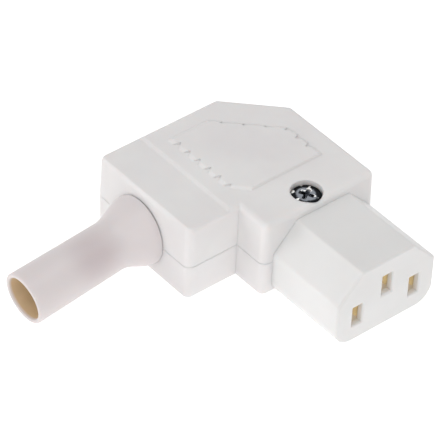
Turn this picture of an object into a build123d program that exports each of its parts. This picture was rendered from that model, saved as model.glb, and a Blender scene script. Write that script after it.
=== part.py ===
from build123d import *
import os
from math import cos, pi, radians, sin, tan

# Right-angle rewirable C13 power connector.
# X points right, Y runs from the mating face back into the housing, Z points up.
# The origin is the centre of the mating face. All sizes are in millimetres.

os.makedirs("parts", exist_ok=True)

# Nose that enters the appliance inlet
nose_width = 24.0
nose_height = 16.0
nose_reach = 18.6
nose_chamfer = 5.6
nose_corner_radius = 4.0
nose_edge_radius = 0.6
nose_edge_bevel = 0.4
face_fall = 0.15

# Contact slots in the mating face
pole_spacing = 14.0
earth_rise = 4.0
slot_width = 2.4
slot_height = 4.7
slot_lead_in = 0.3
front_skin = 1.4

# Housing: an L in plan, parted into two shells
arm_left = 14.35
arm_right = 13.2
housing_depth = 35.35
wing_depth = 27.65
cord_end = 26.2
corner_cut = 10.5
corner_radius = 1.6
housing_height = 17.55
housing_lift = 0.45
parting_share = 0.47
wall = 1.7
draft = 1.5
top_edge_radius = 1.2
bottom_edge_radius = 1.1
seam_gap = 0.05
seam_bevel = 0.12

# Tongue and rebate that line the two shells up
lip_height = 1.0
lip_thickness = 0.8
lip_clearance = 0.12

# Lowered panel at the cord end of the top
panel_edge_x = -15.7
panel_step = 0.4
panel_slope = 0.8
panel_outer_depth = 0.2

# Raised grip pad with sloped sides, and the notches in its edges
pad_height = 0.4
pad_setback = 10.0
pad_to_back = 4.35
pad_left_x = -12.9
pad_right_x = 8.3
pad_slope = 0.8
pad_front_slope = 0.15
pad_front_cut = 3.5
pad_corner_margin = 9.9
notch_start = 3.4
notch_pitch = 3.0
notch_count = 6
notch_depth = 1.5
notch_width = 1.5

# Housing screw and its well
screw_x = -1.25
screw_setback = 3.65
well_radius = 3.15
well_depth = 3.0
well_floor = 1.4
well_wall = 1.15
head_gap = 0.15
head_sink = 0.7
screw_radius = 1.5
screw_floor = 3.0
screw_hole_clearance = 0.15
recess_span = 3.0
recess_width = 0.8
recess_depth = 1.3
boss_half = 2.5

# Contact carrier behind the nose
carrier_skin = 0.65
nose_lap = 0.8
carrier_flange = 1.8
carrier_length = 8.0
carrier_clearance = 0.15
cover_thickness = 1.2
peg_width = 1.6
peg_length = 1.6
peg_clearance = 0.05
peg_end_gap = 0.2

# Contacts, stamped from brass strip
pin_height = 4.0
strip = 0.7
leaf = 0.6
leaf_gap = 1.9
leaf_mouth = 2.7
leaf_front_y = 2.0
leaf_pinch_y = 4.6
leaf_run = 6.0
leaf_sink = 0.1
leaf_setback = 1.65
web_setback = 2.0
tail_width = 4.2
tail_end_gap = 0.5
bend_length = 2.0
fold_gap = 0.8
side_strip_gap = 0.65
side_strip_drop = 0.8
socket_clearance = 0.2
pin_clearance = 0.2

# Steel clip round each pair of leaves
clip = 0.3
clip_front_y = 7.0
clip_length = 6.0
clip_gap = 0.06

# Box clamps on the contact tails
clamp_width = 5.6
clamp_length = 6.0
clamp_floor = 0.75
clamp_headroom = 0.7
clamp_window_width = 4.4
clamp_window_share = 0.59
clamp_corner_bevel = 0.4
clamp_gap_y = 1.6
clamp_screw_radius = 1.5
clamp_screw_head_radius = 2.3
clamp_screw_head_height = 1.6
clamp_screw_reach = 1.4
clamp_screw_raise = 0.7
screw_slot = 0.6
screw_slot_depth = 0.7
rib = 1.0

# Cord guard and the seat that holds it; its radii step down from the room in the lower shell
guard_offset = 0.625
guard_collar_gap = 0.25
guard_collar_step = 1.0
guard_inner_wall = 1.2
guard_flare_step = 0.8
guard_waist_wall = 0.85
guard_mouth_wall = 1.2
guard_collar_length = 1.8
guard_bend = 7.5
guard_edge = 0.35
guard_length = 27.5
guard_droop = 6.8
guard_gap = 0.1
bell_steps = 8
mouth_tilt = 1.0
seat_rib = 1.0

# Cord clamp bar over the cord, with two screws
cord_squeeze = 0.7
bar_x = -17.2
bar_width = 5.2
bar_thickness = 2.0
bar_hump = 1.5
bar_to_back = 3.2
bar_overhang = 2.6
bar_corner_bevel = 0.8
bar_screw_radius = 1.25
bar_screw_head_radius = 2.25
bar_screw_head_height = 1.6
bar_screw_head_gap = 0.15
bar_screw_floor = 0.35
bar_recess_span = 2.4
bar_recess_width = 0.7
bar_recess_depth = 1.0
post_half = 2.3
post_rise = 0.8

# Shared values: how far pieces of one moulding sink into each other, how far a cutter
# runs past the solid, and the free depth under a screw's tip
sink = 0.2
overrun = 1.0
tip_gap = 0.5

# Levels and places that follow from the sizes above
floor_z = housing_lift - nose_height / 2
top_z = floor_z + housing_height
parting_height = parting_share * housing_height
parting_z = floor_z + parting_height
cavity_floor_z = floor_z + wall
cavity_top_z = top_z - wall
draft_run = tan(radians(draft)) * max(parting_height, housing_height - parting_height)
inner_offset = wall + draft_run
front_y = nose_reach + seam_gap
back_y = front_y + housing_depth
shoulder_y = back_y - wing_depth
cavity_front_y = front_y + inner_offset
cord_wall_x = -cord_end + inner_offset
cavity_back_y = back_y - inner_offset
live_z = -earth_rise / 2
earth_z = earth_rise / 2
pole_x = pole_spacing / 2

# Screw well
screw_y = front_y + screw_setback
head_radius = well_radius - head_gap
head_seat_z = top_z - well_depth
head_height = well_depth - head_sink
screw_tip_z = floor_z + screw_floor
cup_half = well_radius + well_wall

# Contact levels, measured from the middle of each pin
strip_top = pin_height / 2 + pin_clearance
strip_bottom = strip_top + strip
leaf_outer = leaf_mouth / 2 + leaf
socket_half = leaf_outer + clip_gap + clip + socket_clearance
clip_top = pin_height / 2 + clip_gap + clip
socket_top = clip_top + socket_clearance
socket_bottom = strip_bottom + pin_clearance / 2
leaf_back_y = front_y - leaf_setback
earth_side_x = screw_x + boss_half + side_strip_gap

# Neck of the carrier, wrapped round the three sockets
neck_half = pole_x + socket_half + carrier_skin
neck_top_z = earth_z + socket_top + carrier_skin
neck_bottom_z = live_z - socket_bottom - carrier_skin
flange_y = cavity_front_y + carrier_clearance
carrier_end_y = cavity_front_y + carrier_length - carrier_flange
cover_end_y = carrier_end_y + cover_thickness
peg_z = (live_z + socket_top + neck_top_z) / 2

# Box clamps stand behind the cover
clamp_front_y = cover_end_y + clamp_gap_y
clamp_middle_y = clamp_front_y + clamp_length / 2
clamp_end_y = clamp_front_y + clamp_length
live_clamp_z = live_z - strip_bottom - clamp_floor
earth_clamp_z = earth_z - strip_bottom - clamp_floor
clamp_height = cavity_top_z - clamp_headroom - clamp_screw_head_height - clamp_screw_raise - earth_clamp_z
clamp_window_height = clamp_window_share * (clamp_height - clamp_floor)
tail_end_y = clamp_end_y - tail_end_gap

# Cord guard and cord clamp
guard_y = back_y - wing_depth / 2 + guard_offset
guard_z = parting_z
guard_collar = parting_height - wall - guard_collar_gap
guard_neck = guard_collar - guard_collar_step
guard_bore = guard_neck - guard_inner_wall
guard_flare = guard_collar + guard_flare_step
guard_waist = guard_bore + guard_waist_wall
guard_mouth = guard_bore + guard_mouth_wall
guard_face_x = -cord_end - guard_gap
seat_x = cord_wall_x + guard_collar_length + 2 * guard_gap
cord_radius = guard_bore - cord_squeeze
bar_z = guard_z + post_rise
bar_reach = back_y - guard_y - bar_to_back
bar_screw_offset = bar_reach - bar_overhang
bar_screw_tip_z = cavity_floor_z + bar_screw_floor

# Grip pad
pad_front_y = front_y + pad_setback
pad_back_y = back_y - pad_to_back
pad_corner_sum = arm_right + back_y - corner_cut - pad_corner_margin


def box(x0, x1, y0, y1, z0, z1):
    """Block between two corners."""
    middle = ((x0 + x1) / 2, (y0 + y1) / 2, (z0 + z1) / 2)
    return Pos(*middle) * Box(x1 - x0, y1 - y0, z1 - z0)


def post(radius, x, y, z0, z1):
    """Upright cylinder."""
    return Pos(x, y, (z0 + z1) / 2) * Cylinder(radius, z1 - z0)


def pillar(half, x, y, z0, z1):
    """Upright square block."""
    return box(x - half, x + half, y - half, y + half, z0, z1)


def rod_x(radius, y, z, x0, x1):
    """Cylinder that lies along X."""
    return Pos((x0 + x1) / 2, y, z) * Rot(0, 90, 0) * Cylinder(radius, x1 - x0)


def arm_plan(inset=0.0):
    """Plan of the arm behind the nose, with one corner cut off, moved inwards by inset."""
    plan = make_face(Polyline(
        (-arm_left, front_y), (arm_right, front_y), (arm_right, back_y - corner_cut),
        (arm_right - corner_cut, back_y), (-arm_left, back_y), close=True))
    return offset(plan, -inset, kind=Kind.INTERSECTION) if inset else plan


def wing_plan(inset=0.0):
    """Plan of the wing that reaches to the cord's side, moved inwards by inset."""
    return make_face(Polyline(
        (-cord_end + inset, shoulder_y + inset), (arm_right - corner_cut - inset, shoulder_y + inset),
        (arm_right - corner_cut - inset, back_y - inset), (-cord_end + inset, back_y - inset), close=True))


def shell_block(height, edge_radius):
    """Arm and wing, both drafted: bevelled at the parting plane, rounded at the corners and the far rim."""
    blocks = []
    arm_crease = (-arm_left, back_y, 0)
    wing_crease = (arm_right - corner_cut, shoulder_y, 0)
    for plan, sharp in ((arm_plan, arm_crease), (wing_plan, wing_crease)):
        full = fillet(plan().vertices().sort_by_distance(sharp)[1:], corner_radius)
        foot = fillet(plan(seam_bevel).vertices().sort_by_distance(sharp)[1:], corner_radius - seam_bevel)
        block = extrude(full, height - seam_bevel, taper=draft)
        block = fillet(block.edges().group_by(Axis.Z)[-1], edge_radius)
        lift = Pos(0, 0, seam_bevel)
        blocks.append(lift * block + loft([foot, lift * full], ruled=True))
    return Pos(0, 0, parting_z) * (blocks[0] + blocks[1])


def hollow(inset, z0, z1):
    """Straight-walled block inside the housing's outline, between two levels."""
    plan = arm_plan(inset) + wing_plan(inset)
    return extrude(Pos(0, 0, z0) * plan, z1 - z0)


def nose_profile():
    """Mating outline: two chamfered top corners, two rounded bottom ones."""
    half = nose_width / 2
    high = nose_height / 2
    outline = Polyline(
        (-half, -high), (half, -high), (half, high - nose_chamfer), (half - nose_chamfer, high),
        (-half + nose_chamfer, high), (-half, high - nose_chamfer), close=True)
    face = make_face(outline)
    face = fillet(face.vertices().group_by(Axis.Y)[0], nose_corner_radius)
    return fillet([v for v in face.vertices() if v.Y > 0], nose_edge_radius)


def along_y(profile, y0, y1):
    """Extrude an XZ profile, drawn on its own X and Y, from y0 to y1."""
    plane = Plane((0, y1, 0), x_dir=(1, 0, 0), z_dir=(0, -1, 0))
    return extrude(plane * profile, y1 - y0)


def pad_outline(z, slope, front_slope):
    """Six-sided outline of the grip pad, moved inwards by its slopes."""
    left = pad_left_x + slope
    right = pad_right_x - slope
    front = pad_front_y + front_slope
    back = pad_back_y - slope
    corner_sum = pad_corner_sum - slope * 2 ** 0.5
    front_cut = pad_front_cut - slope / 2
    return Pos(0, 0, z) * make_face(Polyline(
        (left + front_cut, front), (right, front), (right, corner_sum - right), (corner_sum - back, back),
        (left, back), (left, front + front_cut), close=True))


def grip_pad():
    """Low pad with sloped sides; V-notches mark the rows on its left and right edges."""
    low = top_z - sink
    pad = extrude(pad_outline(low, 0, 0), sink)
    rim = pad_outline(top_z + pad_height, pad_slope, pad_front_slope)
    pad += loft([pad_outline(top_z, 0, 0), rim], ruled=True)
    for row in range(notch_count):
        y = pad_front_y + notch_start + row * notch_pitch
        for side, edge_x in ((-1, pad_left_x), (1, min(pad_right_x, pad_corner_sum - y))):
            tip_x = edge_x - side * notch_depth
            open_x = edge_x + side * notch_depth
            notch = make_face(Polyline(
                (tip_x, y), (open_x, y - notch_width), (open_x, y + notch_width), close=True))
            pad -= extrude(Pos(0, 0, top_z) * notch, pad_height + overrun)
    return pad


def lowered_panel():
    """Wedge taken off the top at the cord end, deepest at the foot of its step."""
    far = -cord_end - overrun
    outline = Polyline(
        (panel_edge_x, top_z), (panel_edge_x - panel_slope, top_z - panel_step),
        (-cord_end, top_z - panel_outer_depth), (far, top_z - panel_outer_depth),
        (far, top_z + overrun), (panel_edge_x, top_z + overrun), close=True)
    return along_y(make_face(outline), shoulder_y - overrun, back_y + overrun)


def neck_profile(grow=0.0):
    """Section of the carrier's neck: round the sockets, inside the nose's outline."""
    width = 2 * (neck_half + grow)
    height = neck_top_z - neck_bottom_z + 2 * grow
    middle = (neck_top_z + neck_bottom_z) / 2
    outer = offset(nose_profile(), grow - nose_lap, kind=Kind.INTERSECTION)
    return outer & Pos(0, middle) * Rectangle(width, height)


def guard_seat(z0, z1):
    """Cross wall behind the end wall; the guard's collar sits between the two."""
    y0 = shoulder_y + inner_offset - sink
    return box(seat_x, seat_x + seat_rib, y0, cavity_back_y + sink, z0, z1)


def guard_hole():
    """Round opening for the guard's neck, through the end wall and the cross wall."""
    return rod_x(guard_neck + guard_gap, guard_y, guard_z, -cord_end - overrun, seat_x + seat_rib + overrun)


def neck_opening():
    """Opening in the front wall for the carrier's neck."""
    return along_y(neck_profile(carrier_clearance), front_y - overrun, cavity_front_y + sink)


def upper_shell():
    """Upper half: drafted walls, rounded rim, panel, pad, and the well for the screw's head."""
    body = shell_block(top_z - parting_z, top_edge_radius)
    body -= lowered_panel()
    body += grip_pad()
    body -= hollow(inner_offset, parting_z - overrun, cavity_top_z)
    body -= hollow(inner_offset - lip_thickness - lip_clearance, parting_z - overrun,
                   parting_z + lip_height + lip_clearance)
    body -= neck_opening()
    cup = pillar(cup_half, screw_x, screw_y, head_seat_z - well_floor, cavity_top_z + sink)
    body += cup & hollow(inner_offset - wall / 2, parting_z, top_z)
    body += pillar(boss_half, screw_x, screw_y, parting_z, head_seat_z)
    body -= post(well_radius, screw_x, screw_y, head_seat_z, top_z + overrun)
    body -= post(screw_radius + screw_hole_clearance, screw_x, screw_y,
                 parting_z - overrun, head_seat_z + overrun)
    body += guard_seat(parting_z + lip_height + 2 * lip_clearance, cavity_top_z + sink)
    return body - guard_hole()


def lower_shell():
    """Lower half: tongue, screw boss, posts, saddle, seats of the clamps and the ribs between them."""
    low = cavity_floor_z - sink
    body = mirror(shell_block(parting_height, bottom_edge_radius), about=Plane.XY.offset(parting_z))
    body -= hollow(inner_offset, cavity_floor_z, parting_z + overrun)
    tongue = hollow(inner_offset - lip_thickness, parting_z - lip_height, parting_z + lip_height)
    body += tongue - hollow(inner_offset, parting_z - lip_height - overrun, parting_z + lip_height + overrun)
    body -= neck_opening()
    body += pillar(boss_half, screw_x, screw_y, low, parting_z)
    body -= post(screw_radius, screw_x, screw_y, screw_tip_z - tip_gap, parting_z + overrun)
    for side in (-1, 1):
        y = guard_y + side * bar_screw_offset
        body += pillar(post_half, bar_x, y, low, bar_z)
        body -= post(bar_screw_radius, bar_x, y, bar_screw_tip_z - tip_gap, bar_z + overrun)
    body += cord_saddle()
    body -= cord_passage()
    half = clamp_window_width / 2
    for x, seat in ((-pole_x, live_clamp_z), (0, earth_clamp_z), (pole_x, live_clamp_z)):
        body += box(x - half, x + half, clamp_front_y, clamp_end_y, low, seat)
    for x in (-pole_x / 2, pole_x / 2):
        body += box(x - rib / 2, x + rib / 2, clamp_front_y - rib / 2, clamp_end_y + rib / 2, low, parting_z)
    body += guard_seat(low, parting_z)
    return body - guard_hole()


def cord_saddle():
    """Cradle under the cord, between the two posts."""
    half = bar_width / 2
    reach = bar_screw_offset - post_half + sink
    return box(bar_x - half, bar_x + half, guard_y - reach, guard_y + reach,
               cavity_floor_z - sink, guard_z - cord_radius / 2)


def cord_passage():
    """Round way for the cord between the saddle and the clamp's bar."""
    reach = bar_width / 2 + overrun
    return rod_x(cord_radius, guard_y, guard_z, bar_x - reach, bar_x + reach)


def slot_lead(x, z):
    """Slot with a small bevel round its mouth."""
    cut = box(x - slot_width / 2, x + slot_width / 2, -overrun, front_skin + sink,
              z - slot_height / 2, z + slot_height / 2)
    grow = 2 * slot_lead_in
    mouth = Plane((x, 0, z), x_dir=(1, 0, 0), z_dir=(0, 1, 0))
    outer = mouth * Rectangle(slot_width + grow, slot_height + grow)
    inner = mouth.offset(slot_lead_in) * Rectangle(slot_width, slot_height)
    return cut + loft([outer, inner])


def nose():
    """Block in the mating outline, its rim bevelled, its face leaning back above and below the middle."""
    block = along_y(nose_profile(), 0, nose_reach)
    block = chamfer(block.edges().group_by(Axis.Y)[0], nose_edge_bevel)
    reach = nose_height / 2
    for side in (-1, 1):
        lean = Polyline((0, 0), (0, side * 2 * reach), (2 * face_fall, side * 2 * reach), close=True)
        wedge = Plane((-nose_width, 0, 0), x_dir=(0, 1, 0), z_dir=(1, 0, 0)) * make_face(lean)
        block -= extrude(wedge, 2 * nose_width)
    return block


def contact_carrier():
    """Nose, neck and flange in one moulding, hollowed by three sockets."""
    body = along_y(neck_profile(), nose_reach - overrun, carrier_end_y)
    flange = hollow(inner_offset + carrier_clearance, cavity_floor_z + carrier_clearance,
                    cavity_top_z - carrier_clearance)
    body += flange & box(-arm_left, arm_right, flange_y, flange_y + carrier_flange, floor_z, top_z)
    body -= pillar(boss_half + carrier_clearance, screw_x, screw_y, floor_z, top_z)
    body -= pillar(cup_half + carrier_clearance, screw_x, screw_y,
                   head_seat_z - well_floor - carrier_clearance, top_z)
    body += nose()
    for x, z in ((-pole_x, live_z), (0, earth_z), (pole_x, live_z)):
        body -= slot_lead(x, z)
        body -= box(x - socket_half, x + socket_half, front_skin, carrier_end_y + overrun,
                    z - socket_bottom, z + socket_top)
    body -= box(0, earth_side_x + strip + socket_clearance, leaf_back_y - leaf_setback,
                carrier_end_y + overrun, earth_z - socket_bottom, earth_z + socket_top)
    for side in (-1, 1):
        body -= peg(side, peg_width + 2 * peg_clearance, peg_length + peg_end_gap)
    return body


def peg(side, width, length):
    """Square peg of the cover, above the line or neutral socket."""
    return Pos(side * pole_x, carrier_end_y - length / 2, peg_z) * Box(width, length, width)


def carrier_cover():
    """Plate that shuts the sockets, with a window for each tail and two pegs."""
    body = along_y(neck_profile(), carrier_end_y, cover_end_y)
    tail = tail_width / 2 + pin_clearance
    y0 = carrier_end_y - overrun
    y1 = cover_end_y + overrun
    for x in (-pole_x, pole_x):
        body -= box(x - tail, x + tail, y0, y1, live_z - socket_bottom, live_z - strip_top + pin_clearance)
    body -= box(-tail, earth_side_x + strip + pin_clearance, y0, y1,
                earth_z - socket_bottom, earth_z + pin_height / 2)
    for side in (-1, 1):
        body += peg(side, peg_width, peg_length)
    return body


def socket(x, z):
    """Web with two sprung leaves that pinch the pin."""
    body = box(x - leaf_outer, x + leaf_outer, leaf_pinch_y + web_setback, leaf_back_y,
               z - strip_bottom, z - strip_top)
    low = strip_top + leaf_sink
    for side in (-1, 1):
        mouth = leaf_mouth / 2 + leaf / 2
        pinch = leaf_gap / 2 + leaf / 2
        line = Polyline((side * mouth, leaf_front_y), (side * pinch, leaf_pinch_y),
                        (side * mouth, leaf_pinch_y + leaf_run), (side * mouth, leaf_back_y))
        body += extrude(Pos(x, 0, z - low) * trace(line, leaf), low + pin_height / 2)
    return body


def live_contact(x):
    """Socket and straight tail; line and neutral are the same stamping."""
    tail = tail_width / 2
    strap = box(x - tail, x + tail, leaf_back_y - bend_length / 2, tail_end_y,
                live_z - strip_bottom, live_z - strip_top)
    return socket(x, live_z) + strap


def earth_contact():
    """Socket whose right leaf runs back beside the screw boss, then folds flat."""
    x0 = leaf_mouth / 2
    x1 = earth_side_x
    low = earth_z - strip_bottom
    bend_y = leaf_back_y - bend_length / 2
    fold_y = carrier_end_y - bend_length / 2
    side_end_y = clamp_front_y - fold_gap
    side_plan = make_face(Polyline(
        (x0, bend_y), (x0 + strip, bend_y), (x1 + strip, bend_y + bend_length), (x1 + strip, side_end_y),
        (x1, side_end_y), (x1, bend_y + bend_length), (x0, bend_y + strip / 2), close=True))
    body = socket(0, earth_z)
    body += extrude(Pos(0, 0, low) * side_plan, strip_bottom + pin_height / 2 - side_strip_drop)
    tail = tail_width / 2
    body += box(-tail, x1 + strip, fold_y, side_end_y, low, low + strip)
    return body + box(-tail, tail, fold_y, tail_end_y, low, low + strip)


def spring_clip(x, z):
    """Steel clip bent over the leaves, open at the bottom."""
    inner = leaf_outer + clip_gap
    outer = inner + clip
    over = z + pin_height / 2 + clip_gap
    y1 = clip_front_y + clip_length
    body = box(x - outer, x + outer, clip_front_y, y1, z - strip_top, over + clip)
    return body - box(x - inner, x + inner, clip_front_y - overrun, y1 + overrun,
                      z - strip_top - overrun, over)


def box_clamp(x, z):
    """Brass clamp with a window for strip and wire and a threaded top."""
    half = clamp_width / 2
    window = clamp_window_width / 2
    body = box(x - half, x + half, clamp_front_y, clamp_end_y, z, z + clamp_height)
    body = chamfer(body.edges().filter_by(Axis.Z), clamp_corner_bevel)
    body -= box(x - window, x + window, clamp_front_y - overrun, clamp_end_y + overrun,
                z + clamp_floor, z + clamp_floor + clamp_window_height)
    return body - post(clamp_screw_radius, x, clamp_middle_y,
                       z + clamp_floor + strip, z + clamp_height + overrun)


def plain_screw(x, y, seat, head, height, shank, tip):
    """Cheese head on a plain shank."""
    return post(head, x, y, seat, seat + height) + post(shank, x, y, tip, seat)


def slot_cut(x, y, top, span, width, depth):
    """Straight slot across the middle of a screw's head."""
    return box(x - span / 2, x + span / 2, y - width / 2, y + width / 2, top - depth, top + overrun)


def terminal_screw(x, z):
    """Slotted screw of a box clamp."""
    seat = z + clamp_height + clamp_screw_raise
    body = plain_screw(x, clamp_middle_y, seat, clamp_screw_head_radius, clamp_screw_head_height,
                       clamp_screw_radius, z + clamp_floor + strip + clamp_screw_reach)
    return body - slot_cut(x, clamp_middle_y, seat + clamp_screw_head_height, 3 * clamp_screw_head_radius,
                           screw_slot, screw_slot_depth)


def cross_recess(x, y, top, span, width, depth):
    """Two crossed slots for the driver."""
    return slot_cut(x, y, top, span, width, depth) + slot_cut(x, y, top, width, span, depth)


def housing_screw():
    """Screw from the well down into the lower shell's boss."""
    body = plain_screw(screw_x, screw_y, head_seat_z, head_radius, head_height, screw_radius, screw_tip_z)
    return body - cross_recess(screw_x, screw_y, head_seat_z + head_height,
                               recess_span, recess_width, recess_depth)


def cord_clamp_screw(y):
    """Screw through the bar into one of the two posts."""
    seat = bar_z + bar_thickness
    body = plain_screw(bar_x, y, seat, bar_screw_head_radius, bar_screw_head_height, bar_screw_radius,
                       bar_screw_tip_z)
    return body - cross_recess(bar_x, y, seat + bar_screw_head_height, bar_recess_span, bar_recess_width,
                               bar_recess_depth)


def cord_clamp():
    """Bar with a hump over the cord and a foot on each post."""
    half = bar_width / 2
    body = box(bar_x - half, bar_x + half, guard_y - bar_reach, guard_y + bar_reach,
               bar_z, bar_z + bar_thickness)
    body = chamfer(body.edges().filter_by(Axis.Z), bar_corner_bevel)
    hump = rod_x(cord_radius + bar_hump, guard_y, guard_z, bar_x - half, bar_x + half)
    room = bar_screw_offset - bar_screw_head_radius - bar_screw_head_gap
    body += hump & box(bar_x - half, bar_x + half, guard_y - room, guard_y + room, bar_z, top_z)
    body -= cord_passage()
    for side in (-1, 1):
        body -= post(bar_screw_radius + screw_hole_clearance, bar_x, guard_y + side * bar_screw_offset,
                     bar_z - overrun, bar_z + bar_thickness + overrun)
    return body


def guard_station(s):
    """Plane square to the guard's centre line, s from the face: the root bends, the rest is straight."""
    turn = radians(guard_droop)
    bend_radius = guard_bend / turn
    angle = min(s / guard_bend, 1) * turn
    straight = max(s - guard_bend, 0)
    x = guard_face_x - bend_radius * sin(angle) - straight * cos(turn)
    z = guard_z - bend_radius * (1 - cos(angle)) - straight * sin(turn)
    return Plane((x, guard_y, z), x_dir=(0, 1, 0), z_dir=(-cos(angle), 0, -sin(angle)))


def guard_radius(s):
    """Outer radius: a bell at the face, a narrow waist, then a slight widening to the mouth."""
    radius = guard_waist + (guard_mouth - guard_waist) * s / guard_length
    if s < guard_bend:
        radius += (guard_flare - guard_waist) * (1 + cos(pi * s / guard_bend)) / 2
    return radius


def guard_passage(x_in):
    """Bore of one radius: straight through the neck, leaning inside the bell, straight along the tube."""
    root, waist = (guard_station(s) * Circle(guard_bore) for s in (0, guard_bend))
    lean = loft([root, waist], ruled=True)
    return rod_x(guard_bore, guard_y, guard_z, guard_face_x, x_in) + lean + extrude(waist, guard_length)


def cord_guard():
    """Soft sleeve: collar and neck in the housing, bell and drooping tube outside."""
    tilt = Rot(0, mouth_tilt, 0)
    circles = [guard_station(s) * Circle(guard_radius(s))
               for s in (guard_bend * step / bell_steps for step in range(bell_steps + 1))]
    circles.append(guard_station(guard_length - guard_edge) * tilt * Circle(guard_mouth))
    circles.append(guard_station(guard_length) * tilt * Circle(guard_mouth - guard_edge))
    x_in = seat_x + seat_rib
    collar_x = cord_wall_x + guard_gap
    body = loft(circles, ruled=True)
    body += rod_x(guard_neck, guard_y, guard_z, guard_face_x, x_in)
    body += rod_x(guard_collar, guard_y, guard_z, collar_x, collar_x + guard_collar_length)
    return body - guard_passage(x_in + overrun)


pieces = {
    "upper_shell": upper_shell(),
    "lower_shell": lower_shell(),
    "contact_carrier": contact_carrier(),
    "carrier_cover": carrier_cover(),
    "cord_guard": cord_guard(),
    "cord_clamp": cord_clamp(),
    "line_contact": live_contact(-pole_x),
    "neutral_contact": live_contact(pole_x),
    "earth_contact": earth_contact(),
    "line_spring": spring_clip(-pole_x, live_z),
    "neutral_spring": spring_clip(pole_x, live_z),
    "earth_spring": spring_clip(0, earth_z),
    "line_terminal": box_clamp(-pole_x, live_clamp_z),
    "neutral_terminal": box_clamp(pole_x, live_clamp_z),
    "earth_terminal": box_clamp(0, earth_clamp_z),
    "line_terminal_screw": terminal_screw(-pole_x, live_clamp_z),
    "neutral_terminal_screw": terminal_screw(pole_x, live_clamp_z),
    "earth_terminal_screw": terminal_screw(0, earth_clamp_z),
    "housing_screw": housing_screw(),
    "cord_clamp_screw_front": cord_clamp_screw(guard_y - bar_screw_offset),
    "cord_clamp_screw_rear": cord_clamp_screw(guard_y + bar_screw_offset),
}

for name, solid in pieces.items():
    export_step(solid, f"parts/{name}.step")
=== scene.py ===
from math import cos, pi, radians, sin, tan

import bmesh
import bpy
from mathutils import Matrix, Vector


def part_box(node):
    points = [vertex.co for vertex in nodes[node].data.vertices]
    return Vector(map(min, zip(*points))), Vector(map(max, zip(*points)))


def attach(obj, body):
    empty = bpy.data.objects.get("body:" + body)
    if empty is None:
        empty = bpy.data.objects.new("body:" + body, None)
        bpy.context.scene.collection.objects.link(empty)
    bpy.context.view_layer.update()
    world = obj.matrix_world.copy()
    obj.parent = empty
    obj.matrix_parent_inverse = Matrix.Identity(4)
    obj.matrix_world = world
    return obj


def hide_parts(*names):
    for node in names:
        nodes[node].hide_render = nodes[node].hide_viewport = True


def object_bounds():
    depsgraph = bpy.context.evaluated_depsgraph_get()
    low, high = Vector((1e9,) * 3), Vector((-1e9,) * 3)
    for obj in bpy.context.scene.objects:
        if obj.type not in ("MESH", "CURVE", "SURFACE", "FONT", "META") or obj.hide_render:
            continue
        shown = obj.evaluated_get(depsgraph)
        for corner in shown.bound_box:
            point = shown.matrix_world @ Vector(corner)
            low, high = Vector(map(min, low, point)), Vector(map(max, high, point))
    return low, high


# Right-angle rewirable C13 power connector.
# X points right, Y runs from the mating face back into the housing, Z points up, all in metres.

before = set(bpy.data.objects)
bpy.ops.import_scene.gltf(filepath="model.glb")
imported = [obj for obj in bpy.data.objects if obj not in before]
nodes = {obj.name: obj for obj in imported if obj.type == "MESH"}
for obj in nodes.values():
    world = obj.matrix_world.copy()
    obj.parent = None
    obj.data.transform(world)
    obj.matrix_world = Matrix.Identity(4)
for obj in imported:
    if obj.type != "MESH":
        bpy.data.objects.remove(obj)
cad_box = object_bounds()


# Housing shells
# Two halves of white polyamide, moulded in a spark-eroded tool and held together by one screw.
# The tool leaves a fine even grain, and the melt leaves faint broad clouds where it flowed.

SHELL_WHITE = "E9E7E6"
SHELL_CLOUD = "E3E0E0"
SHELL_ROUGHNESS = 0.52
SHELL_EDGE_MM = 0.5
PAST_HOUSING_MM = 100
MOULDED_IOR = 1.53
# The real grain is about 0.05 mm; it is drawn as coarse as it has to be to show.
SPARK_GRAIN_MM = 0.35
GRAIN_DEPTH_MM = 0.04
GRAIN_STRENGTH = 0.25
FINE_DETAIL = 2.0
POLISH_SPREAD = 0.06
FLOW_CLOUD_MM = 14
CLOUD_EDGES = (0.35, 0.65)
BROAD_DETAIL = 3.0
EDGE_FADE_MM = 0.2
EDGE_SAMPLES = 6
VECTOR_A = 4
VECTOR_B = 5
VECTOR_MIXED = 1
LIGHT_LET_IN = 0.3
LIGHT_DEPTH_MM = 1.5
LIGHT_SPREAD = (1.0, 0.75, 0.65)


def linear(code):
    """Turn an sRGB hex colour into the linear colour that a shader takes."""
    values = [int(code[i:i + 2], 16) / 255 for i in (0, 2, 4)]
    return [v / 12.92 if v <= 0.04045 else ((v + 0.055) / 1.055) ** 2.4 for v in values] + [1]


def per_mm(size_mm):
    """Texture scale for a pattern of this real size, for coordinates in metres."""
    return 1000 / size_mm


def add_node(tree, kind, inputs, **settings):
    """Add a shader node; inputs are plain values, or output sockets to link from."""
    node = tree.nodes.new("ShaderNode" + kind)
    for name, value in settings.items():
        setattr(node, name, value)
    for name, value in inputs.items():
        if isinstance(value, bpy.types.NodeSocket):
            tree.links.new(value, node.inputs[name])
        else:
            node.inputs[name].default_value = value
    return node


def new_material(name):
    """Empty node material, with the coordinates that its patterns are laid out in."""
    material = bpy.data.materials.new(name)
    material.use_nodes = True
    tree = material.node_tree
    tree.nodes.clear()
    place = add_node(tree, "TexCoord", {}).outputs["Object"]
    return material, tree, place


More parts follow.
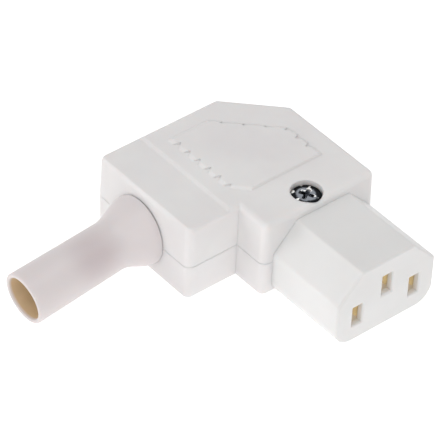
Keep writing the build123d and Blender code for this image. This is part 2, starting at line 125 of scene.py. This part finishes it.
def moulded_plastic(name, tone, cloud, roughness, grain_mm, edge_mm, softened_to_mm):
    """Moulded thermoplastic: clouded, evenly grained, lit a little way in, with edges softened up to a Y."""
    material, tree, place = new_material(name)
    flow = add_node(tree, "TexNoise", {
        "Vector": place, "Scale": per_mm(FLOW_CLOUD_MM), "Detail": BROAD_DETAIL})
    grain = add_node(tree, "TexNoise", {"Vector": place, "Scale": per_mm(grain_mm), "Detail": FINE_DETAIL})
    clouds = add_node(tree, "ValToRGB", {"Fac": flow.outputs["Fac"]})
    for stop, position, code in zip(clouds.color_ramp.elements, CLOUD_EDGES, (cloud, tone)):
        stop.position = position
        stop.color = linear(code)
    polish = add_node(tree, "MapRange", {
        "Value": grain.outputs["Fac"],
        "To Min": roughness - POLISH_SPREAD, "To Max": roughness + POLISH_SPREAD})
    edges = add_node(tree, "Bevel", {"Radius": edge_mm / 1000}, samples=EDGE_SAMPLES)
    surface = add_node(tree, "NewGeometry", {})
    along = add_node(tree, "SeparateXYZ", {0: place})
    softened = add_node(tree, "MapRange", {
        "Value": along.outputs["Y"], "From Min": softened_to_mm / 1000,
        "From Max": (softened_to_mm + EDGE_FADE_MM) / 1000, "To Min": 1.0, "To Max": 0.0})
    normal = add_node(tree, "Mix", {
        "Factor": softened.outputs["Result"], VECTOR_A: surface.outputs["Normal"],
        VECTOR_B: edges.outputs["Normal"]}, data_type="VECTOR")
    relief = add_node(tree, "Bump", {
        "Height": grain.outputs["Fac"], "Strength": GRAIN_STRENGTH, "Distance": GRAIN_DEPTH_MM / 1000,
        "Normal": normal.outputs[VECTOR_MIXED]})
    skin = add_node(tree, "BsdfPrincipled", {
        "Base Color": clouds.outputs["Color"], "Roughness": polish.outputs["Result"], "IOR": MOULDED_IOR,
        "Subsurface Weight": LIGHT_LET_IN, "Subsurface Scale": LIGHT_DEPTH_MM / 1000,
        "Subsurface Radius": LIGHT_SPREAD, "Normal": relief.outputs["Normal"]})
    add_node(tree, "OutputMaterial", {"Surface": skin.outputs["BSDF"]})
    return material


def cover_with(material, *names):
    """Give CAD pieces their material."""
    for name in names:
        for place in nodes[name].material_slots:
            place.material = material


shell_polyamide = moulded_plastic(
    "moulded_white_polyamide", SHELL_WHITE, SHELL_CLOUD, SHELL_ROUGHNESS, SPARK_GRAIN_MM,
    SHELL_EDGE_MM, PAST_HOUSING_MM)
cover_with(shell_polyamide, "upper_shell", "lower_shell")


# Contact carrier and its cover
# One moulding of white PBT makes the nose and the sockets behind it; a pegged cover shuts the sockets.
# PBT comes out of a finer tool a touch smoother and greyer than the shells, and lets some light through.

NOSE_WHITE = "E5E4E3"
NOSE_CLOUD = "E1E0DF"
NOSE_ROUGHNESS = 0.46
NOSE_EDGE_MM = 0.45
SHORT_OF_JOINT_MM = 17.5
# Drawn coarser than the real 0.03 mm, so that it shows.
FINE_GRAIN_MM = 0.25

nose_pbt = moulded_plastic(
    "moulded_white_pbt", NOSE_WHITE, NOSE_CLOUD, NOSE_ROUGHNESS, FINE_GRAIN_MM,
    NOSE_EDGE_MM, SHORT_OF_JOINT_MM)
cover_with(nose_pbt, "carrier_cover")

SOCKET_REACH_MM = 10.4
SOCKET_LEVEL_MM = 6.2
SOCKET_SLOPE_MM = 12.8
SLOT_PAINTED_GLOW = "EBD8C4"
SLOT_PAINTED_GLOW_STRENGTH = 0.2
GLOW_STARTS_MM = 0.4
GLOW_FULL_MM = 4

# The sockets' walls carry a painted glow, the more the deeper, which stands for the light that comes through
# them.
# Their room ends short of the nose's sides, and of the slope that its chamfered corners make.
tree = nose_pbt.node_tree
place = add_node(tree, "TexCoord", {}).outputs["Object"]
at = add_node(tree, "SeparateXYZ", {0: place})
aside = add_node(tree, "Math", {0: at.outputs["X"]}, operation="ABSOLUTE")
height = add_node(tree, "Math", {0: at.outputs["Z"]}, operation="ABSOLUTE")
slope = add_node(tree, "Math", {0: aside.outputs[0], 1: at.outputs["Z"]}, operation="ADD")
painted_glow = add_node(tree, "MapRange", {
    "Value": at.outputs["Y"], "From Min": GLOW_STARTS_MM / 1000, "From Max": GLOW_FULL_MM / 1000,
    "To Max": SLOT_PAINTED_GLOW_STRENGTH})
for measure, limit_mm in ((aside, SOCKET_REACH_MM), (height, SOCKET_LEVEL_MM), (slope, SOCKET_SLOPE_MM)):
    within = add_node(tree, "Math", {0: measure.outputs[0], 1: limit_mm / 1000}, operation="LESS_THAN")
    painted_glow = add_node(tree, "Math", {0: painted_glow.outputs[0], 1: within.outputs[0]}, operation="MULTIPLY")
# Painted light: an emission glow in the socket walls stands for light coming through the nose.
nose_skin = tree.nodes["Principled BSDF"]
nose_skin.inputs["Emission Color"].default_value = linear(SLOT_PAINTED_GLOW)
tree.links.new(painted_glow.outputs[0], nose_skin.inputs["Emission Strength"])

NOSE_BACK_MM = 18.6
NEAR_BACK_MM = 0.001
SEAM_LEVEL_MM = 0.7
SHELL_FRONT_MM = 18.65
SHELL_DRAFT = radians(1.5)
JOINT_GAP_MM = 0.015

# The back of the nose follows the drafted front of the shells, so that the joint closes to a hairline.
carrier_mesh = nodes["contact_carrier"].data.copy()
for point in carrier_mesh.vertices:
    if abs(point.co.y * 1000 - NOSE_BACK_MM) < NEAR_BACK_MM:
        lean = tan(SHELL_DRAFT) * abs(point.co.z * 1000 - SEAM_LEVEL_MM)
        point.co.y = (SHELL_FRONT_MM + lean - JOINT_GAP_MM) / 1000
carrier_mesh.materials.clear()
carrier_mesh.materials.append(nose_pbt)
carrier = bpy.data.objects.new("nose_and_sockets", carrier_mesh)
bpy.context.collection.objects.link(carrier)
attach(carrier, "root")
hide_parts("contact_carrier")


# Contacts
# Stamped and folded from brass strip 0.6 to 0.7 mm thick; two sprung leaves pinch each pin.
# Rolling leaves fine lines along the strip, and handling leaves dull brown patches.
# The stain takes most of its mirror shine, and a painted glow stands for the light that the nose lets in,
# warming it.

BRASS = "DCC996"
BRASS_TARNISH = "C0A874"
BRASS_METALLIC = 0.4
BRASS_ROUGHNESS = 0.42
BRASS_PAINTED_GLOW = "C8B894"
PAINTED_NOSE_GLOW = 0.3
TARNISH_PATCH_MM = 3
TARNISH_DETAIL = 4.0
TARNISH_EDGES = (0.35, 0.6)
# Real rolling lines are about 0.02 mm apart; they are drawn coarser, so that they show.
ROLLING_LINE_MM = 0.12
LINE_DEPTH_MM = 0.02
LINE_STRENGTH = 0.2
DRAWN_OUT = (1, 0.04, 1)
SMOOTHER_BY = 0.08
ROUGHER_BY = 0.12


def rolled_metal(name, tone, stain, metal, roughness, line_mm, patch_mm):
    """Rolled strip: lines drawn out along Y, with patches of stain."""
    material, tree, place = new_material(name)
    drawn = add_node(tree, "Mapping", {"Vector": place, "Scale": DRAWN_OUT})
    lines = add_node(tree, "TexNoise", {
        "Vector": drawn.outputs["Vector"], "Scale": per_mm(line_mm), "Detail": FINE_DETAIL})
    patches = add_node(tree, "TexNoise", {
        "Vector": place, "Scale": per_mm(patch_mm), "Detail": TARNISH_DETAIL})
    tint = add_node(tree, "ValToRGB", {"Fac": patches.outputs["Fac"]})
    for stop, position, code in zip(tint.color_ramp.elements, TARNISH_EDGES, (stain, tone)):
        stop.position = position
        stop.color = linear(code)
    polish = add_node(tree, "MapRange", {
        "Value": lines.outputs["Fac"], "To Min": roughness - SMOOTHER_BY, "To Max": roughness + ROUGHER_BY})
    relief = add_node(tree, "Bump", {
        "Height": lines.outputs["Fac"], "Strength": LINE_STRENGTH, "Distance": LINE_DEPTH_MM / 1000})
    skin = add_node(tree, "BsdfPrincipled", {
        "Base Color": tint.outputs["Color"], "Roughness": polish.outputs["Result"],
        "Metallic": metal, "Normal": relief.outputs["Normal"]})
    add_node(tree, "OutputMaterial", {"Surface": skin.outputs["BSDF"]})
    return material


contact_brass = rolled_metal(
    "rolled_brass_strip", BRASS, BRASS_TARNISH, BRASS_METALLIC, BRASS_ROUGHNESS,
    ROLLING_LINE_MM, TARNISH_PATCH_MM)
strip_skin = contact_brass.node_tree.nodes["Principled BSDF"]
# Painted light: the contacts glow faintly, standing for the light that the nose lets in.
strip_skin.inputs["Emission Color"].default_value = linear(BRASS_PAINTED_GLOW)
strip_skin.inputs["Emission Strength"].default_value = PAINTED_NOSE_GLOW
cover_with(contact_brass, "line_contact", "neutral_contact", "earth_contact")


# Spring clips
# Blue-grey spring steel 0.3 mm thick, bent to a channel that presses the two leaves together.
# It is rolled like the brass, but darker and harder, with hardly any stain.

SPRING_STEEL = "8F9499"
SPRING_STEEL_STAIN = "7D8287"
SPRING_STEEL_ROUGHNESS = 0.3
SPRING_STEEL_PATCH_MM = 4
CLEAN_METAL = 1.0

clip_steel = rolled_metal(
    "rolled_spring_steel", SPRING_STEEL, SPRING_STEEL_STAIN, CLEAN_METAL, SPRING_STEEL_ROUGHNESS,
    ROLLING_LINE_MM, SPRING_STEEL_PATCH_MM)
cover_with(clip_steel, "line_spring", "neutral_spring", "earth_spring")


# Box clamps
# Brass bar, sawn to length and drilled, with a window for the contact's tail and the core.
# It is thicker and duller than the strip, and the saw leaves short scratches.

CLAMP_BRASS = "C9A558"
CLAMP_BRASS_STAIN = "A98545"
CLAMP_BRASS_ROUGHNESS = 0.4
CLAMP_PATCH_MM = 2.5
SAW_SCRATCH_MM = 0.2

clamp_brass = rolled_metal(
    "sawn_brass_bar", CLAMP_BRASS, CLAMP_BRASS_STAIN, CLEAN_METAL, CLAMP_BRASS_ROUGHNESS,
    SAW_SCRATCH_MM, CLAMP_PATCH_MM)
cover_with(clamp_brass, "line_terminal", "neutral_terminal", "earth_terminal")


# Screws
# Steel, cold headed, thread rolled and zinc plated, glossy with a fine orange peel.
# Painted light: the head's rim is painted near black as painted shade and dark reflection, and its middle
# grey, partly driver wear and partly painted sheen, with a few bright nicks as painted highlights.

DARK_ZINC_PAINTED_SHADE = "17191C"
WORN_ZINC_PAINTED_SHEEN = "8A8E95"
PAINTED_GLINT_STEEL = "F4F4F2"
ZINC_ROUGHNESS = 0.22
PLATING_PEEL_MM = 0.3
PEEL_DEPTH_MM = 0.03
PEEL_STRENGTH = 0.4
SMOOTH_DETAIL = 1.0
SHADED_RIM_FROM_MM = 2.25
WORN_SHEEN_TO_MM = 1.45
WEAR_AND_SHEEN_SHIFT = (-0.35, 0.6)
WEAR_AND_SHEEN_PATCH_MM = 0.9
WEAR_AND_SHEEN_EDGES = (0.35, 0.75)
GLINT_NICK_MM = 1.1
GLINT_NICK_EDGES = (0.6, 0.63)

# Painted light: a dark rim as painted shade and reflection, a grey middle and bright nicks as painted
# highlights.
screw_steel, tree, place = new_material("zinc_on_steel_painted_shade_and_glints")
peel = add_node(tree, "TexNoise", {
    "Vector": place, "Scale": per_mm(PLATING_PEEL_MM), "Detail": SMOOTH_DETAIL})
patches = add_node(tree, "TexNoise", {
    "Vector": place, "Scale": per_mm(WEAR_AND_SHEEN_PATCH_MM), "Detail": BROAD_DETAIL})
glint_chips = add_node(tree, "TexNoise", {"Vector": place, "Scale": per_mm(GLINT_NICK_MM), "Detail": SMOOTH_DETAIL})
flat = add_node(tree, "VectorMath", {0: place, 1: (1, 1, 0)}, operation="MULTIPLY")
off_axis = add_node(tree, "VectorMath", {0: flat.outputs[0]}, operation="LENGTH")
inside = add_node(tree, "MapRange", {
    "Value": off_axis.outputs["Value"], "From Min": SHADED_RIM_FROM_MM / 1000, "From Max": WORN_SHEEN_TO_MM / 1000,
    "To Min": WEAR_AND_SHEEN_SHIFT[0], "To Max": WEAR_AND_SHEEN_SHIFT[1]})
wear_and_sheen = add_node(tree, "Math", {0: inside.outputs["Result"], 1: patches.outputs["Fac"]}, operation="ADD")
tint = add_node(tree, "ValToRGB", {"Fac": wear_and_sheen.outputs[0]})
for stop, position, code in zip(tint.color_ramp.elements, WEAR_AND_SHEEN_EDGES, (DARK_ZINC_PAINTED_SHADE, WORN_ZINC_PAINTED_SHEEN)):
    stop.position = position
    stop.color = linear(code)
# Painted highlights: bright bare nicks that stand for glints.
painted_glints = add_node(tree, "MapRange", {
    "Value": glint_chips.outputs["Fac"], "From Min": GLINT_NICK_EDGES[0], "From Max": GLINT_NICK_EDGES[1]})
tone = add_node(tree, "Mix", {
    "Factor": painted_glints.outputs["Result"], "A": tint.outputs["Color"], "B": linear(PAINTED_GLINT_STEEL)},
    data_type="RGBA")
relief = add_node(tree, "Bump", {
    "Height": peel.outputs["Fac"], "Strength": PEEL_STRENGTH, "Distance": PEEL_DEPTH_MM / 1000})
skin = add_node(tree, "BsdfPrincipled", {
    "Base Color": tone.outputs["Result"], "Roughness": ZINC_ROUGHNESS, "Metallic": CLEAN_METAL,
    "Normal": relief.outputs["Normal"]})
add_node(tree, "OutputMaterial", {"Surface": skin.outputs["BSDF"]})

SIDES = 64
THREAD_STEPS = 8
DOME_STEPS = 8
CRISP_ABOVE = radians(40)
THREAD_DEPTH = 0.32
RIDGE_SLOPE = 3
TIP_SHARE = 0.35
TIP_TURNS = 2
CROSS_DEPTH = 0.62
CROSS_BOTTOM_LENGTH = 0.3
CROSS_BOTTOM_WIDTH = 0.7
STRAIGHT_DEPTH = 1.2
CUTTER_ABOVE_MM = 1


def mesh_piece(name, points, faces, material):
    """Mesh object with one material, smooth but for its crisp edges."""
    mesh = bpy.data.meshes.new(name)
    mesh.from_pydata(points, [], faces)
    mesh.materials.append(material)
    build = bmesh.new()
    build.from_mesh(mesh)
    bmesh.ops.recalc_face_normals(build, faces=build.faces)
    build.to_mesh(mesh)
    build.free()
    for face in mesh.polygons:
        face.use_smooth = True
    mesh.set_sharp_from_angle(angle=CRISP_ABOVE)
    piece = bpy.data.objects.new(name, mesh)
    bpy.context.collection.objects.link(piece)
    return piece


def ring_faces(rings):
    """Quads between neighbouring rings of points, with a flat face on each end."""
    faces = []
    for ring in range(rings - 1):
        for side in range(SIDES):
            a = ring * SIDES + side
            b = ring * SIDES + (side + 1) % SIDES
            faces.append((a, b, b + SIDES, a + SIDES))
    faces.append(tuple(range(SIDES)))
    faces.append(tuple((rings - 1) * SIDES + side for side in range(SIDES)))
    return faces


def cut(piece, low, high, low_z, high_z):
    """Cut a block with these half widths at its two levels out of a screw's head."""
    points = []
    for (half_x, half_y), z in ((low, low_z), (high, high_z)):
        for sx, sy in ((-1, -1), (1, -1), (1, 1), (-1, 1)):
            points.append((sx * half_x, sy * half_y, z))
    faces = [(0, 1, 2, 3), (4, 5, 6, 7), (0, 1, 5, 4), (1, 2, 6, 5), (2, 3, 7, 6), (3, 0, 4, 7)]
    punch = mesh_piece("driver_slot", points, faces, screw_steel)
    boolean = piece.modifiers.new("slot", "BOOLEAN")
    boolean.operation = "DIFFERENCE"
    boolean.solver = "EXACT"
    boolean.object = punch
    with bpy.context.temp_override(object=piece, active_object=piece):
        bpy.ops.object.modifier_apply(modifier=boolean.name)
    bpy.data.objects.remove(punch)


def screw(node, shank_mm, head_mm, edge_mm, dome_mm, pitch_mm, recess_mm, slot_mm, cross, turn):
    """Threaded screw in a CAD screw's place: its head edged and domed, with one slot or two crossed ones."""
    low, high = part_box(node)
    head = (high[0] - low[0]) / 2 * 1000
    top = (high[2] - low[2]) * 1000
    seat = top - head_mm
    root = shank_mm - THREAD_DEPTH * pitch_mm
    points = []
    rings = int(seat / pitch_mm * THREAD_STEPS)
    for ring in range(rings + 1):
        z = seat * ring / rings
        for side in range(SIDES):
            phase = (z / pitch_mm - side / SIDES) % 1
            ridge = max(0, 1 - RIDGE_SLOPE * abs(phase - 0.5))
            core = root * min(1, TIP_SHARE + z / (TIP_TURNS * pitch_mm))
            points.append((core + (shank_mm - root) * ridge * min(1, z / pitch_mm), side, z))
    profile = [(head, seat), (head, top - dome_mm - edge_mm)]
    for step in range(1, DOME_STEPS + 1):
        angle = pi / 2 * step / DOME_STEPS
        profile.append((head - edge_mm * (1 - cos(angle)), top - dome_mm - edge_mm * (1 - sin(angle))))
    for step in range(1, DOME_STEPS):
        share = step / DOME_STEPS
        profile.append(((head - edge_mm) * (1 - share), top - dome_mm * (1 - share) ** 2))
    for radius, z in profile:
        for side in range(SIDES):
            points.append((radius, side, z))
    placed = [(r * cos(2 * pi * side / SIDES) / 1000, r * sin(2 * pi * side / SIDES) / 1000, z / 1000)
              for r, side, z in points]
    piece = mesh_piece(node + "_threaded", placed, ring_faces(len(points) // SIDES), screw_steel)
    span = recess_mm / 2000
    wide = slot_mm / 2000
    above = (top + CUTTER_ABOVE_MM) / 1000
    if cross:
        deep = (top - CROSS_DEPTH * recess_mm) / 1000
        short, narrow = CROSS_BOTTOM_LENGTH * span, CROSS_BOTTOM_WIDTH * wide
        cut(piece, (short, narrow), (span, wide), deep, above)
        cut(piece, (narrow, short), (wide, span), deep, above)
    else:
        deep = (top - STRAIGHT_DEPTH * slot_mm) / 1000
        cut(piece, (span, wide), (span, wide), deep, above)
    piece.data.set_sharp_from_angle(angle=CRISP_ABOVE)
    piece.location = ((low[0] + high[0]) / 2, (low[1] + high[1]) / 2, low[2])
    piece.rotation_euler = (0, 0, radians(turn))
    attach(piece, "root")
    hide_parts(node)


screw("housing_screw", shank_mm=1.5, head_mm=2.3, edge_mm=0.35, dome_mm=0.12, pitch_mm=1.0,
      recess_mm=3.9, slot_mm=0.95, cross=True, turn=28)
for name in ("cord_clamp_screw_front", "cord_clamp_screw_rear"):
    screw(name, shank_mm=1.25, head_mm=1.6, edge_mm=0.4, dome_mm=0.2, pitch_mm=0.9,
          recess_mm=2.4, slot_mm=0.65, cross=True, turn=15)
for name in ("line_terminal_screw", "neutral_terminal_screw", "earth_terminal_screw"):
    screw(name, shank_mm=1.5, head_mm=1.6, edge_mm=0.25, dome_mm=0.05, pitch_mm=0.5,
          recess_mm=6.0, slot_mm=0.6, cross=False, turn=0)


# Cord guard
# Sleeve of soft white PVC, moulded over a core pin: collar between the shells, bell, and a drooping tube.
# Its round section follows a bent centre line; the mouth is rolled over, and the bore is cream.
# The tube's upper side carries one faint pink-grey patch of painted shade.

GUARD_WHITE = "DAD3D3"
GUARD_CREAM = "CEB590"
CREAM_EDGES_MM = (0.35, 0.15)
PAINTED_SHADE_TONE = "CBC0C1"
SHADE_AT_MM = (-39.2, 37.5, 3.5)
SHADE_REACH_MM = 7.5
SHADE_CORE_MM = 1
GUARD_IOR = 1.52
GUARD_POLISH = (0.4, 0.52)
GUARD_CLOUD_MM = 9
# Drawn coarser than the real 0.05 mm, so that it shows.
GUARD_GRAIN_MM = 0.3
GUARD_GRAIN_DEPTH_MM = 0.03
GUARD_GRAIN_STRENGTH = 0.15
GUARD_LIGHT_SPREAD = (1.0, 0.7, 0.55)
GUARD_Y_MM = 40.8
GUARD_Z_MM = 0.7
GUARD_FACE_X_MM = -26.3
GUARD_BEND_MM = 7.5
GUARD_DROOP = radians(6.8)
GUARD_LENGTH_MM = 27.5
GUARD_BORE_MM = 4.1
GUARD_NECK_MM = 5.3
GUARD_COLLAR_MM = 6.3
GUARD_FLARE_MM = 7.1
GUARD_WAIST_MM = 4.95
GUARD_MOUTH_MM = 5.3
GUARD_LIP_MM = 0.45
NECK_END_MM = -5.04
COLLAR_MM = (-3.94, -2.14)
BELL_STEPS = 24
LIP_STEPS = 12
THROAT_STEPS = 6

bend_radius = GUARD_BEND_MM / GUARD_DROOP
bell = []
for step in range(BELL_STEPS + 1):
    s = GUARD_BEND_MM * step / BELL_STEPS
    waist = GUARD_WAIST_MM + (GUARD_MOUTH_MM - GUARD_WAIST_MM) * s / GUARD_LENGTH_MM
    bell.append((s, waist + (GUARD_FLARE_MM - GUARD_WAIST_MM) * (1 + cos(pi * s / GUARD_BEND_MM)) / 2))
lip = []
for step in range(LIP_STEPS + 1):
    angle = pi * step / LIP_STEPS
    middle_mm = GUARD_MOUTH_MM - GUARD_LIP_MM
    lip.append((GUARD_LENGTH_MM - GUARD_LIP_MM * (1 - sin(angle)), middle_mm + GUARD_LIP_MM * cos(angle)))
section = [
    (NECK_END_MM, GUARD_BORE_MM), (NECK_END_MM, GUARD_NECK_MM),
    (COLLAR_MM[0], GUARD_NECK_MM), (COLLAR_MM[0], GUARD_COLLAR_MM),
    (COLLAR_MM[1], GUARD_COLLAR_MM), (COLLAR_MM[1], GUARD_NECK_MM), (0, GUARD_NECK_MM)]
section += bell + lip
section += [(GUARD_LENGTH_MM - 2 * GUARD_LIP_MM, GUARD_BORE_MM), (GUARD_BEND_MM, GUARD_BORE_MM)]
section += [(GUARD_BEND_MM * step / THROAT_STEPS, GUARD_BORE_MM) for step in reversed(range(THROAT_STEPS))]


def guard_ring(s, radius):
    """Ring of points round the centre line, s mm from the housing's face."""
    lean = max(0, min(s / GUARD_BEND_MM, 1)) * GUARD_DROOP
    straight = max(s - GUARD_BEND_MM, 0) if s > 0 else s
    centre = Vector((
        GUARD_FACE_X_MM - bend_radius * sin(lean) - straight * cos(lean), GUARD_Y_MM,
        GUARD_Z_MM - bend_radius * (1 - cos(lean)) - straight * sin(lean)))
    up = Vector((-sin(lean), 0, cos(lean)))
    across = Vector((0, 1, 0))
    turns = (2 * pi * side / SIDES for side in range(SIDES))
    return [(centre + radius * (cos(turn) * across + sin(turn) * up)) / 1000 for turn in turns]


points = [point for s, radius in section for point in guard_ring(s, radius)]
faces = []
for ring in range(len(section)):
    for side in range(SIDES):
        a, b = ring * SIDES + side, ring * SIDES + (side + 1) % SIDES
        c, d = ((i + SIDES) % len(points) for i in (b, a))
        faces.append((a, b, c, d))

tube_start = guard_ring(GUARD_BEND_MM, 0)[0]
tube_direction = Vector((-cos(GUARD_DROOP), 0, -sin(GUARD_DROOP)))

guard_pvc, tree, place = new_material("soft_white_pvc")
flow = add_node(tree, "TexNoise", {"Vector": place, "Scale": per_mm(GUARD_CLOUD_MM), "Detail": BROAD_DETAIL})
grain = add_node(tree, "TexNoise", {"Vector": place, "Scale": per_mm(GUARD_GRAIN_MM), "Detail": FINE_DETAIL})
from_tube = add_node(tree, "VectorMath", {0: place, 1: tube_start}, operation="SUBTRACT")
off_axis = add_node(tree, "VectorMath", {
    0: from_tube.outputs[0], 1: tube_direction}, operation="CROSS_PRODUCT")
distance = add_node(tree, "VectorMath", {0: off_axis.outputs[0]}, operation="LENGTH")
bore = add_node(tree, "MapRange", {
    "Value": distance.outputs["Value"], "From Min": (GUARD_BORE_MM + CREAM_EDGES_MM[0]) / 1000,
    "From Max": (GUARD_BORE_MM + CREAM_EDGES_MM[1]) / 1000})
# Painted shade: a soft pink-grey darkening round one spot on the tube.
off_shade = add_node(tree, "VectorMath", {0: place, 1: Vector(SHADE_AT_MM) / 1000}, operation="DISTANCE")
painted_shade = add_node(tree, "MapRange", {
    "Value": off_shade.outputs["Value"], "From Min": SHADE_REACH_MM / 1000, "From Max": SHADE_CORE_MM / 1000},
    interpolation_type="SMOOTHSTEP")
sleeve = add_node(tree, "Mix", {
    "Factor": painted_shade.outputs["Result"], "A": linear(GUARD_WHITE), "B": linear(PAINTED_SHADE_TONE)},
    data_type="RGBA")
tone = add_node(tree, "Mix", {
    "Factor": bore.outputs["Result"], "A": sleeve.outputs["Result"], "B": linear(GUARD_CREAM)},
    data_type="RGBA")
polish = add_node(tree, "MapRange", {
    "Value": flow.outputs["Fac"], "To Min": GUARD_POLISH[0], "To Max": GUARD_POLISH[1]})
relief = add_node(tree, "Bump", {
    "Height": grain.outputs["Fac"], "Strength": GUARD_GRAIN_STRENGTH,
    "Distance": GUARD_GRAIN_DEPTH_MM / 1000})
skin = add_node(tree, "BsdfPrincipled", {
    "Base Color": tone.outputs["Result"], "Roughness": polish.outputs["Result"], "IOR": GUARD_IOR,
    "Subsurface Weight": LIGHT_LET_IN, "Subsurface Scale": LIGHT_DEPTH_MM / 1000,
    "Subsurface Radius": GUARD_LIGHT_SPREAD, "Normal": relief.outputs["Normal"]})
add_node(tree, "OutputMaterial", {"Surface": skin.outputs["BSDF"]})

guard = mesh_piece("soft_cord_guard", points, faces, guard_pvc)
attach(guard, "root")
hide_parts("cord_guard")


# Cord clamp
# A bar with a hump that presses the cord down, screwed to two posts of the lower shell.
# It is moulded from the shells' own polyamide, so it has their grain and white.

cover_with(shell_polyamide, "cord_clamp")


# Floor
# White light table: its faint glow from below keeps the lower faces as pale as in the photograph.
# Seen directly or in a reflection it is lifted to white, so that only the object's soft shadow stays.

TABLE_WHITE = "F4F4F4"
TABLE_SIZE_M = 4
TABLE_DROP_MM = 0.02
TABLE_GLOW = 0.42
TABLE_LIFT = 0.5


def strength_by_ray(tree, unseen, seen):
    """One strength as light on the object, another as seen by the camera, straight, mirrored or through."""
    ray = add_node(tree, "LightPath", {})
    either = add_node(tree, "Math", {
        0: ray.outputs["Is Camera Ray"], 1: ray.outputs["Is Glossy Ray"]}, operation="MAXIMUM")
    any_way = add_node(tree, "Math", {
        0: either.outputs[0], 1: ray.outputs["Is Transmission Ray"]}, operation="MAXIMUM")
    level = add_node(tree, "MapRange", {"Value": any_way.outputs[0], "To Min": unseen, "To Max": seen})
    return level.outputs["Result"]


bpy.ops.mesh.primitive_plane_add(size=TABLE_SIZE_M, location=(0, 0, cad_box[0][2] - TABLE_DROP_MM / 1000))
floor = bpy.context.object
floor.name = "floor"
table, tree = new_material("white_light_table")[:2]
matt = add_node(tree, "BsdfDiffuse", {"Color": linear(TABLE_WHITE)})
glow = add_node(tree, "Emission", {"Strength": strength_by_ray(tree, TABLE_GLOW, TABLE_LIFT)})
both = add_node(tree, "AddShader", {0: matt.outputs[0], 1: glow.outputs[0]})
add_node(tree, "OutputMaterial", {"Surface": both.outputs[0]})
floor.data.materials.append(table)


# Light
# A light tent: an even white surround, with a softbox low on the left, one at the camera's side
# and a wide one overhead. Their powers keep the pale plastic below white from every side.

SURROUND = 0.5
SEEN_WHITE = 1.0
BOX_DISTANCE_M = 0.9

world = bpy.data.worlds.new("light_tent")
bpy.context.scene.world = world
world.use_nodes = True
tree = world.node_tree
tree.nodes.clear()
tent = add_node(tree, "Background", {
    "Color": (1, 1, 1, 1), "Strength": strength_by_ray(tree, SURROUND, SEEN_WHITE)})
add_node(tree, "OutputWorld", {"Surface": tent.outputs[0]})


def softbox(name, azimuth, elevation, size_m, power):
    """Square area lamp aimed at the middle of the object."""
    lamp = bpy.data.lights.new(name, "AREA")
    lamp.size = size_m
    lamp.energy = power
    box = bpy.data.objects.new(name, lamp)
    bpy.context.collection.objects.link(box)
    turn, lean = radians(azimuth), radians(elevation)
    middle = (Vector(cad_box[0]) + Vector(cad_box[1])) / 2
    way = Vector((sin(turn) * cos(lean), -cos(turn) * cos(lean), sin(lean)))
    box.location = middle + BOX_DISTANCE_M * way
    box.rotation_euler = way.to_track_quat("Z", "Y").to_euler()


softbox("left_softbox", azimuth=-120, elevation=20, size_m=0.5, power=1.75)
softbox("front_softbox", azimuth=-35, elevation=30, size_m=0.4, power=1.05)
softbox("top_softbox", azimuth=10, elevation=80, size_m=0.6, power=2.0)


# Camera
# A long lens looking down at 41 degrees from the front left, as in the photograph.
# Its place comes from where the middle of the mating face lies: so far right, down and ahead of it.

IMAGE_PX = 444
FOCAL_PX = 3336.7
SENSOR_MM = 36
NEAREST_SEEN_M = 0.01
LOOK_AZIMUTH = radians(-41.636)
LOOK_ELEVATION = radians(41.097)
LOOK_ROLL = radians(3.141)
OBJECT_IN_CAMERA_MM = Vector((30.57, 13.01, 618.93))

back = Vector((
    sin(LOOK_AZIMUTH) * cos(LOOK_ELEVATION), -cos(LOOK_AZIMUTH) * cos(LOOK_ELEVATION), sin(LOOK_ELEVATION)))
level_right = (-back).cross(Vector((0, 0, 1))).normalized()
level_up = level_right.cross(-back)
right = level_right * cos(LOOK_ROLL) + level_up * sin(LOOK_ROLL)
up = level_up * cos(LOOK_ROLL) - level_right * sin(LOOK_ROLL)
x, y, z = OBJECT_IN_CAMERA_MM / 1000
eye = -(right * x - up * y - back * z)

lens = bpy.data.cameras.new("camera")
lens.sensor_width = SENSOR_MM
lens.lens = FOCAL_PX / IMAGE_PX * SENSOR_MM
lens.clip_start = NEAREST_SEEN_M
camera = bpy.data.objects.new("camera", lens)
bpy.context.collection.objects.link(camera)
camera.matrix_world = Matrix.Translation(eye) @ Matrix((right, up, back)).transposed().to_4x4()
bpy.context.scene.camera = camera
bpy.context.scene.view_settings.view_transform = "Standard"
